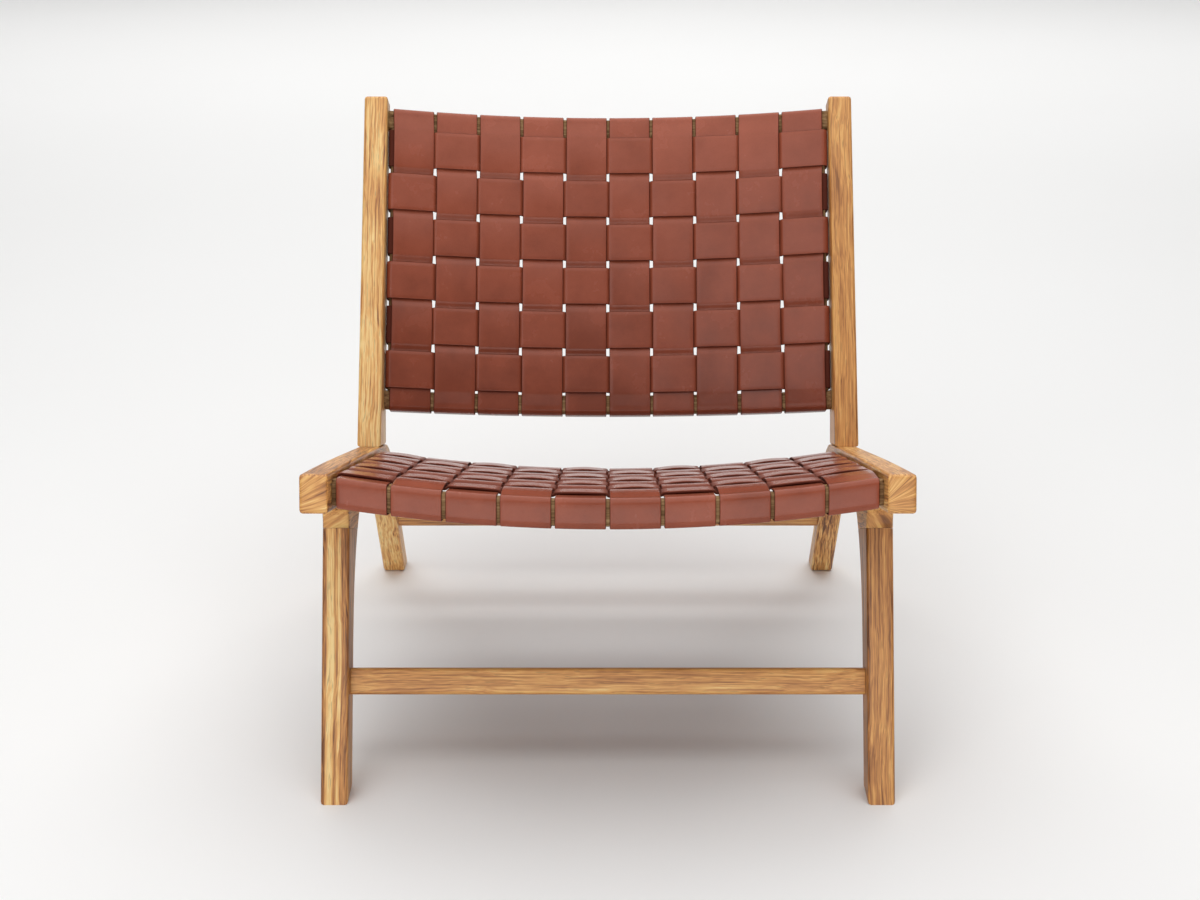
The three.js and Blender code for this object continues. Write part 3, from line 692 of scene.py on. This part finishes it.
class Nodes:
    """A material's node tree, with short ways to add and join nodes."""

    def __init__(self, name):
        self.material = bpy.data.materials.new(name)
        self.material.use_nodes = True
        self.tree = self.material.node_tree
        self.shader = self.tree.nodes["Principled BSDF"]

    def put(self, socket, value):
        if isinstance(value, bpy.types.NodeSocket):
            self.tree.links.new(value, socket)
        else:
            socket.default_value = value

    def add(self, kind, settings=None, **inputs):
        node = self.tree.nodes.new(kind)
        for key, value in (settings or {}).items():
            setattr(node, key, value)
        for key, value in inputs.items():
            self.put(node.inputs[key.replace("_", " ")], value)
        return node

    def math(self, operation, *values):
        node = self.add("ShaderNodeMath", {"operation": operation})
        for socket, value in zip(node.inputs, values):
            self.put(socket, value)
        return node.outputs[0]

    def plus(self, base, value, weight):
        """The base with a weighted value added."""
        return self.math("MULTIPLY_ADD", value, weight, base)

    def varied(self, base, pattern, weight):
        """The base with a pattern added that varies it up and down."""
        return self.plus(base, self.math("SUBTRACT", pattern, 0.5), weight)

    def distance(self, first, second):
        squares = [self.math("MULTIPLY", side, side) for side in (first, second)]
        return self.math("SQRT", self.math("ADD", *squares))

    def attribute(self, name, output="Fac"):
        return self.add("ShaderNodeAttribute", {"attribute_name": name}).outputs[output]

    def object_place(self):
        return self.add("ShaderNodeTexCoord").outputs["Object"]

    def split(self, vector):
        return self.add("ShaderNodeSeparateXYZ", Vector=vector).outputs

    def join(self, x, y, z=0.0):
        return self.add("ShaderNodeCombineXYZ", X=x, Y=y, Z=z).outputs[0]

    def noise(self, vector, scale=1.0, detail=3.0, roughness=0.5):
        """A noise; three scales stretch it along each axis by its own."""
        if isinstance(scale, tuple):
            vector = self.add("ShaderNodeMapping", Vector=vector, Scale=scale).outputs[0]
            scale = 1.0
        values = {"Vector": vector, "Scale": scale, "Detail": detail, "Roughness": roughness}
        return self.add("ShaderNodeTexNoise", **values).outputs[0]

    def ramp(self, value, *stops):
        node = self.add("ShaderNodeValToRGB", Fac=value)
        elements = node.color_ramp.elements
        while len(elements) < len(stops):
            elements.new(0.5)
        for element, (place, colour) in zip(elements, stops):
            element.position = place
            element.color = (*colour, 1.0)
        return node.outputs[0]

    def grey_ramp(self, value, *stops):
        return self.ramp(value, *[(place, (grey, grey, grey)) for place, grey in stops])

    def span(self, value, limits, full):
        """Rises from 0 at the lower limit to full at the upper one, and stays there."""
        node = self.add("ShaderNodeMapRange")
        for socket, number in zip(node.inputs, (value, *limits, 0.0, full)):
            self.put(socket, number)
        return node.outputs[0]

    def mix(self, amount, first, second):
        """A mix of two colours; a plain colour is a tuple."""
        node = self.add("ShaderNodeMix", {"data_type": "RGBA"})
        self.put(node.inputs[0], amount)
        for socket, colour in ((node.inputs[6], first), (node.inputs[7], second)):
            self.put(socket, (*colour, 1.0) if isinstance(colour, tuple) else colour)
        return node.outputs[2]

    def finish(self, colour, roughness, height, bump, depth, **values):
        """Sets the shader's colour, roughness and bumps of a strength and depth, and its other values."""
        self.put(self.shader.inputs["Base Color"], colour)
        self.put(self.shader.inputs["Roughness"], roughness)
        bumps = self.add("ShaderNodeBump", Strength=bump, Distance=depth, Height=height)
        self.put(self.shader.inputs["Normal"], bumps.outputs[0])
        for key, value in values.items():
            self.put(self.shader.inputs[key.replace("_", " ")], value)
        return self.material


# Looks of the wood
RING_PITCH = 0.0047  # between two year rings
RING_WEIGHT = 0.45
RINGS_SHOW = (0.4, 0.62)  # limits of the pattern that lets rings show in some places only
GRAIN_SWAY = 0.014  # how far long bends move the grain
GRAIN_RIPPLE = 0.002  # how far short ones do
STRIPE_SWAY = 0.12  # how far long bends move the stripes, as a share of a piece's width
MIDDLE_SHADE = 0.52
PITS = (0.6, 0.72)  # limits of the dashes that are open pores
PIT_DEPTH = 0.4
ROUGH_SPREAD = 0.14
STREAKS_AROUND = 17.0
STREAKS_OUT = 18.0
STREAK_WEIGHT = 2.2


def year_rings(n, radius):
    """Rings that are pale early in a year and dark at its end."""
    cycle = n.math("FRACT", n.math("DIVIDE", radius, RING_PITCH))
    return n.grey_ramp(cycle, (0.0, 0.4), (0.12, 0.66), (0.65, 0.6), (0.88, 0.05), (1.0, 0.4))


def broad_stripes(n, aside):
    """Pale and dark stripes side by side, as on the front of a leg."""
    dark_pale_dark = ((0.0, 0.2), (0.13, 0.25), (0.2, 0.95), (0.4, 1.0), (0.46, 0.35), (0.56, 0.4))
    pale_dark = ((0.61, 0.9), (0.68, 0.85), (0.73, 0.35), (1.0, 0.4))
    return n.grey_ramp(aside, *dark_pale_dark, *pale_dark)


def end_face_shade(n):
    """Streaks that spread over an end face from a point beside it."""
    x, tone, z = n.split(n.attribute("rays", "Vector"))
    turn = n.math("MULTIPLY", n.math("ARCTAN2", z, x), STREAKS_AROUND)
    out = n.math("MULTIPLY", n.distance(x, z), STREAKS_OUT)
    streak = n.noise(n.join(out, turn), detail=3.0, roughness=0.6)
    return n.math("ADD", n.varied(0.5, streak, STREAK_WEIGHT), tone)


def teak(name, colours, roughness, shine):
    dark, brown, honey, pale, cream = colours
    n = Nodes(name)
    straight_grain = n.attribute("grain", "Vector")
    end = n.attribute("end_grain")
    sway = n.noise(straight_grain, (7, 12, 12), detail=1.0)
    ripple = n.noise(straight_grain, (38, 70, 70), detail=1.0)
    along, across, through = n.split(straight_grain)
    moved = n.varied(n.math("MULTIPLY", sway, GRAIN_SWAY), ripple, GRAIN_RIPPLE)
    across = n.math("ADD", across, moved)
    through = n.math("ADD", through, moved)
    grain = n.join(along, across, through)

    clear = n.noise(grain, (9, 60, 60), detail=1.0)
    cloud = n.noise(grain, (10, 45, 45), detail=2.0)
    broad = n.noise(grain, (3, 120, 120), detail=1.0)
    streak = n.noise(grain, (12, 520, 520), detail=2.0, roughness=0.6)
    dash = n.noise(grain, (50, 640, 640), detail=1.0)
    rings = n.math("SUBTRACT", year_rings(n, n.distance(across, through)), 0.5)
    rings = n.math("MULTIPLY", rings, n.span(clear, RINGS_SHOW, 1.0))
    lively = n.math("MULTIPLY", rings, RING_WEIGHT)
    for pattern, weight in ((cloud, 0.7), (broad, 0.7), (streak, 1.8), (dash, 0.6)):
        lively = n.varied(lively, pattern, weight)
    shade = n.math("ADD", n.plus(MIDDLE_SHADE, lively, n.attribute("figure")), n.attribute("tone"))
    stripes = broad_stripes(n, n.varied(n.attribute("aside"), sway, STRIPE_SWAY))
    shade = n.varied(shade, stripes, n.attribute("bands"))
    shade = n.mix(end, shade, end_face_shade(n))

    colour = n.ramp(shade, (0.05, dark), (0.3, brown), (0.55, honey), (0.78, pale), (1.0, cream))
    pits = n.span(dash, PITS, PIT_DEPTH)
    colour = n.mix(n.math("MULTIPLY", pits, n.math("SUBTRACT", 1.0, end)), colour, dark)
    rough = n.varied(roughness, dash, ROUGH_SPREAD)
    height = n.math("SUBTRACT", n.math("MULTIPLY", streak, 0.5), pits)
    return n.finish(colour, rough, height, bump=0.12, depth=0.0004, Specular_IOR_Level=shine)


# Looks of the leather
HIDE_DARK = (0.206, 0.048, 0.0235)
HIDE_MIDDLE = (0.296, 0.0708, 0.0355)
HIDE_PALE = (0.382, 0.097, 0.052)
CREASE_COLOUR = (0.09, 0.022, 0.014)
# Colour of the dyed cut edges, also used for the painted shade.
EDGE_DYE_AND_SHADE_COLOUR = (0.1, 0.027, 0.018)
CREASE_CELLS = 900.0  # to a metre
CREASE_WIDTH = 0.14  # as a share of a cell
CREASE_DARK = 0.22
CUT_EDGE = (0.968, 0.986)  # limits of the cut edge's start, as shares of a strap's half width
CUT_EDGE_DULL = 0.9
# Strength and curve of the painted shade under crossings and in the slits.
PAINTED_SHADE_WEIGHT = 0.97
PAINTED_SHADE_POWER = 0.9
TONE_WEIGHT = 0.14
SHINE = 0.26


def leather():
    n = Nodes("strap_leather")
    hide = n.attribute("hide", "Vector")
    mottle = n.noise(hide, (26, 26, 26), detail=4.0, roughness=0.6)
    cloud = n.noise(hide, (7, 12, 10), detail=2.0)
    fine = n.noise(hide, (1500, 1500, 1500), detail=2.0)
    cells = n.add("ShaderNodeTexVoronoi", {"feature": "DISTANCE_TO_EDGE"}, Vector=hide)
    n.put(cells.inputs["Scale"], CREASE_CELLS)
    smooth = n.span(cells.outputs[0], (0.0, CREASE_WIDTH), 1.0)
    creased = n.math("MULTIPLY", n.math("SUBTRACT", 1.0, smooth), CREASE_DARK)
    amount = n.plus(n.math("MULTIPLY", cloud, 0.4), mottle, 0.6)
    amount = n.plus(amount, n.attribute("tone"), TONE_WEIGHT)
    colour = n.ramp(amount, (0.2, HIDE_DARK), (0.5, HIDE_MIDDLE), (0.8, HIDE_PALE))
    colour = n.mix(creased, colour, CREASE_COLOUR)

    # The cut edges are dyed darker, and painted shade darkens the stretches under a crossing and the ends
    # in the slits; both are also rougher and without shine.
    cut_edge = n.span(n.attribute("edge"), CUT_EDGE, CUT_EDGE_DULL)
    painted_shade = n.math("POWER", n.attribute("painted_shade"), PAINTED_SHADE_POWER)
    edge_dye_and_painted_shade = n.math("MAXIMUM", cut_edge, n.math("MULTIPLY", painted_shade, PAINTED_SHADE_WEIGHT))
    colour = n.mix(edge_dye_and_painted_shade, colour, EDGE_DYE_AND_SHADE_COLOUR)
    rough = n.plus(n.plus(0.2, edge_dye_and_painted_shade, 0.4), mottle, 0.12)
    rough = n.plus(rough, n.attribute("polish"), -0.02)
    shine = n.plus(SHINE, edge_dye_and_painted_shade, -SHINE)
    height = n.plus(n.math("MULTIPLY", fine, 0.35), smooth, 0.55)
    return n.finish(colour, rough, height, bump=0.12, depth=0.00012, Specular_IOR_Level=shine)


def tack_metal():
    n = Nodes("tack_metal")
    stain = n.noise(n.object_place(), 420.0, 3.0)
    scratch = n.noise(n.object_place(), 2600.0, 2.0)
    colour = n.ramp(stain, (0.3, (0.19, 0.13, 0.07)), (0.7, (0.36, 0.27, 0.15)))
    rough = n.plus(0.25, stain, 0.25)
    return n.finish(colour, rough, scratch, bump=0.1, depth=0.0001, Metallic=1.0)


def floor_material():
    n = Nodes("floor")
    cloud = n.noise(n.object_place(), 0.6, 2.0)
    fine = n.noise(n.object_place(), 90.0, 2.0)
    colour = n.ramp(cloud, (0.3, (0.87, 0.866, 0.858)), (0.7, (0.885, 0.881, 0.875)))
    return n.finish(colour, 0.7, fine, bump=0.02, depth=0.0005, Specular_IOR_Level=0.2)


# Colours of both woods, from the darkest to the palest
FRAME_COLOURS = (
    (0.15, 0.05, 0.014),
    (0.43, 0.17, 0.045),
    (0.66, 0.31, 0.088),
    (0.8, 0.46, 0.15),
    (0.88, 0.63, 0.27),
)
BAR_COLOURS = (
    (0.07, 0.037, 0.016),
    (0.17, 0.093, 0.042),
    (0.26, 0.15, 0.07),
    (0.36, 0.225, 0.11),
    (0.46, 0.31, 0.16),
)
FRAME_WOOD = teak("teak_frame", FRAME_COLOURS, roughness=0.4, shine=0.5)
BAR_WOOD = teak("teak_bars", BAR_COLOURS, roughness=0.8, shine=0.05)
LEATHER = leather()
TACK = tack_metal()

# What each piece is made of and stands for

for node, obj in wood.items():
    hidden = node.endswith("_bar") or "_slat_" in node
    obj.data.materials.append(BAR_WOOD if hidden else FRAME_WOOD)
    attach(obj, "root")
    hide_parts(node)
for obj, node, width, length, rests in straps:
    obj.data.materials.append(LEATHER)
    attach(obj, "root")
    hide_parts(node)
for obj in tack_heads:
    obj.data.materials.append(TACK)
    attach(obj, "root")

# Floor, light and camera

FLOOR_FRONT = -6.0
FLOOR_REAR = 9.0
FLOOR_HALF_WIDTH = 12.0
BACKDROP_BEND = 3.0
BEND_START = 0.1  # angle of its first step
BEND_STEPS = 12
BACKDROP_TOP = 9.0
WORLD_STRENGTH = 0.06
# Name, place, the point that it faces, width and height, and power.
LIGHTS = (
    ("wide", (0.0, 0.0, 3.2), (0.0, 0.0, 0.0), (5.0, 5.0), 137.0),
    ("key", (-1.3, -2.6, 2.4), (0.0, 0.0, 0.4), (1.6, 1.4), 14.0),
    ("high", (0.0, -2.6, 2.4), (0.0, 0.0, 0.35), (2.4, 1.2), 4.0),
    ("low", (0.0, -3.4, 0.8), (0.0, 0.0, 0.2), (3.0, 0.8), 26.0),
    ("left", (-2.4, -1.8, 2.0), (0.0, 0.0, 0.35), (1.6, 1.6), 4.0),
    ("right", (2.4, -1.8, 2.0), (0.0, 0.0, 0.35), (1.6, 1.6), 2.0),
    ("rear", (0.0, 5.4, 4.0), (0.0, 6.35, 0.0), (9.0, 4.0), 280.0),
)
SENSOR_WIDTH = 36.0
LENS = 61.5
PICTURE_WIDTH = 1200
PICTURE_SHIFT = -7.9  # pixels of that width
CAMERA_PLACE = (0.0, -2.27202, 1.0708)
CAMERA_FALL = math.radians(19.05)
CAMERA_REACH = 60.0


def floor():
    """A pale floor that rises into a backdrop far behind the chair."""
    profile = [(FLOOR_FRONT, 0.0), (FLOOR_REAR, 0.0)]
    for angle in np.linspace(BEND_START, math.pi / 2, BEND_STEPS):
        depth = FLOOR_REAR + BACKDROP_BEND * math.sin(angle)
        height = BACKDROP_BEND * (1 - math.cos(angle))
        profile.append((depth, height))
    profile.append((FLOOR_REAR + BACKDROP_BEND, BACKDROP_TOP))
    verts = [(x, y, z) for y, z in profile for x in (-FLOOR_HALF_WIDTH, FLOOR_HALF_WIDTH)]
    faces = [(2 * i, 2 * i + 1, 2 * i + 3, 2 * i + 2) for i in range(len(profile) - 1)]
    mesh = new_mesh("floor", verts, faces)
    mesh.materials.append(floor_material())
    obj = add_object("floor", mesh)


def softbox(name, place, aim, size, power):
    light = bpy.data.lights.new(name, "AREA")
    light.shape = "RECTANGLE"
    light.size, light.size_y = size
    light.energy = power
    obj = add_object(name, light)
    obj.location = place
    obj.rotation_euler = (Vector(aim) - Vector(place)).to_track_quat("-Z", "Y").to_euler()


def studio_world():
    world = bpy.data.worlds.new("studio")
    world.use_nodes = True
    background = world.node_tree.nodes["Background"]
    background.inputs["Color"].default_value = (1.0, 1.0, 1.0, 1.0)
    background.inputs["Strength"].default_value = WORLD_STRENGTH
    return world


def camera_object():
    camera = bpy.data.cameras.new("camera")
    camera.sensor_fit = "HORIZONTAL"
    camera.sensor_width = SENSOR_WIDTH
    camera.lens = LENS
    camera.shift_x = PICTURE_SHIFT / PICTURE_WIDTH
    camera.clip_end = CAMERA_REACH
    obj = add_object("camera", camera)
    obj.location = CAMERA_PLACE
    obj.rotation_euler = (math.pi / 2 - CAMERA_FALL, 0.0, 0.0)
    return obj


floor()
for light in LIGHTS:
    softbox(*light)
bpy.context.scene.world = studio_world()
bpy.context.scene.camera = camera_object()
bpy.context.scene.view_settings.view_transform = "Standard"

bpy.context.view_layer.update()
